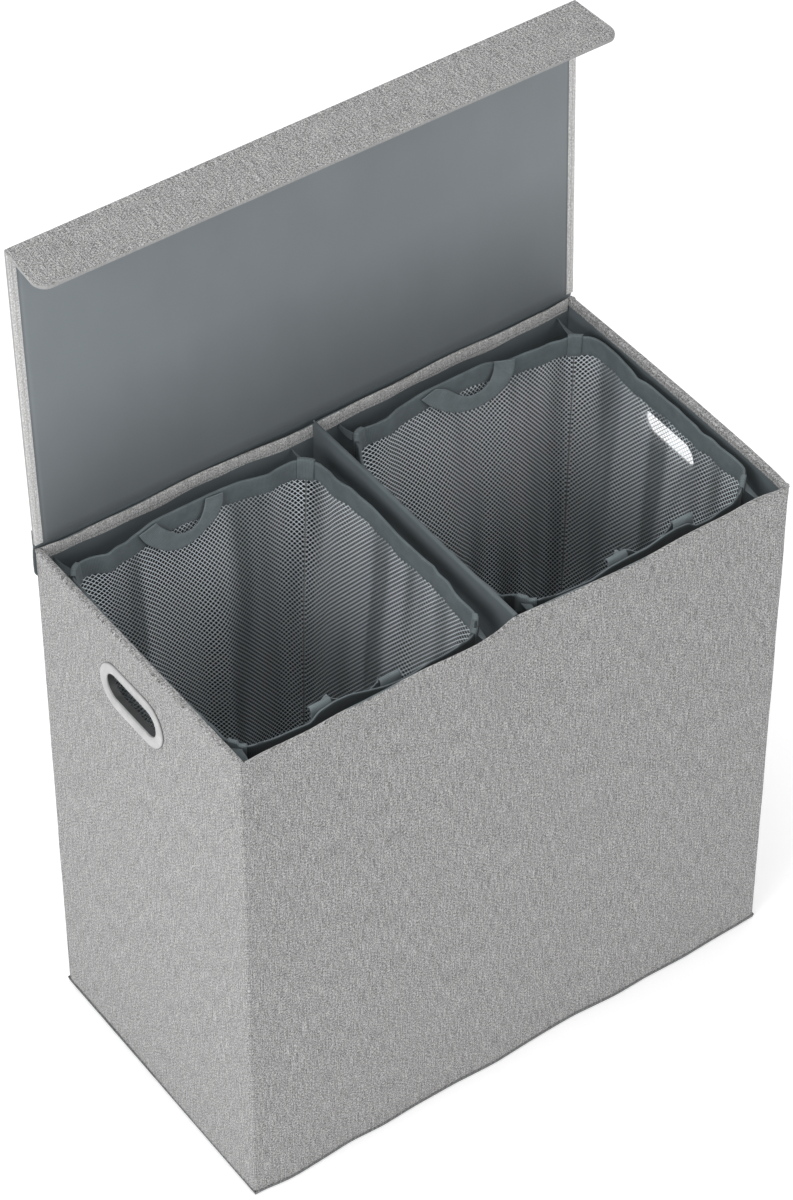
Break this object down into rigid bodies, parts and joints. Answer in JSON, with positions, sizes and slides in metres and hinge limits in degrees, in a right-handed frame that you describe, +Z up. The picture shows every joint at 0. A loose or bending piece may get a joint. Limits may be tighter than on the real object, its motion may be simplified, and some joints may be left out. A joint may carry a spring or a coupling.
{
  "type": "laundry hamper with two bins",
  "caption": "Tall fabric-covered laundry hamper with stiff sides, a divider, lift-out mesh bags and a hinged lid with a front lip.",
  "frame": {"origin": "middle of the face that the hamper stands on", "axes": "+Z up, +X to the right along the width, the front wall faces -Y and the lid hinges along the back wall at +Y"},
  "size_m": [0.6306, 0.3517, 0.9627],
  "materials": {
    "linen": "light grey melange linen-look weave",
    "slate": "smooth slate grey coated lining",
    "tape": "slate grey woven tape and webbing",
    "net": "open white mesh",
    "board": "grey-brown stiffening board",
    "plastic": "light grey-white moulded plastic, satin"
  },
  "bodies": {
    "hamper_body": {"base_cloth": "linen", "left_base_board": "board", "right_base_board": "board", "left_base_cover": "slate", "right_base_cover": "slate", "front_wall_cloth": "linen", "front_wall_lining": "slate", "back_wall_cloth": "linen", "back_wall_lining": "slate", "left_wall_cloth": "linen", "left_wall_board": "board", "left_wall_lining": "slate", "right_wall_cloth": "linen", "right_wall_board": "board", "right_wall_lining": "slate", "divider_cover": "slate", "divider_board": "board", "hinge_flap": "linen", "left_grip_ring": "plastic", "left_grip_backing": "plastic", "right_grip_ring": "plastic", "right_grip_backing": "plastic", "left_back_left_strap": "tape", "left_back_right_strap": "tape", "left_front_left_strap": "tape", "left_front_right_strap": "tape", "right_back_left_strap": "tape", "right_back_right_strap": "tape", "right_front_left_strap": "tape", "right_front_right_strap": "tape"},
    "lid": {"lid_cloth": "linen", "lid_board": "board", "lip_board": "board", "lid_lining": "slate"},
    "left_bag": {"left_bag_net": "net", "left_bag_bottom": "net", "left_bag_binding": "tape", "left_bag_back_handle": "tape", "left_bag_front_handle": "tape", "left_bag_back_left_tab": "tape", "left_bag_back_right_tab": "tape", "left_bag_front_left_tab": "tape", "left_bag_front_right_tab": "tape"},
    "right_bag": {"right_bag_net": "net", "right_bag_bottom": "net", "right_bag_binding": "tape", "right_bag_back_handle": "tape", "right_bag_front_handle": "tape", "right_bag_back_left_tab": "tape", "right_bag_back_right_tab": "tape", "right_bag_front_left_tab": "tape", "right_bag_front_right_tab": "tape"}
  },
  "joints": [
    {"name": "lid_hinge", "type": "hinge", "parent": "hamper_body", "child": "lid", "pos_m": [0, 0.1714, 0.6143], "axis": [-1, 0, 0], "range_deg": [-91.7, 175]},
    {"name": "left_bag_lift", "type": "slide", "parent": "hamper_body", "child": "left_bag", "axis": [0, -0.0593, 0.9982], "range_m": [0, 0.615]},
    {"name": "right_bag_lift", "type": "slide", "parent": "hamper_body", "child": "right_bag", "axis": [0, -0.0593, 0.9982], "range_m": [0, 0.615]}
  ]
}
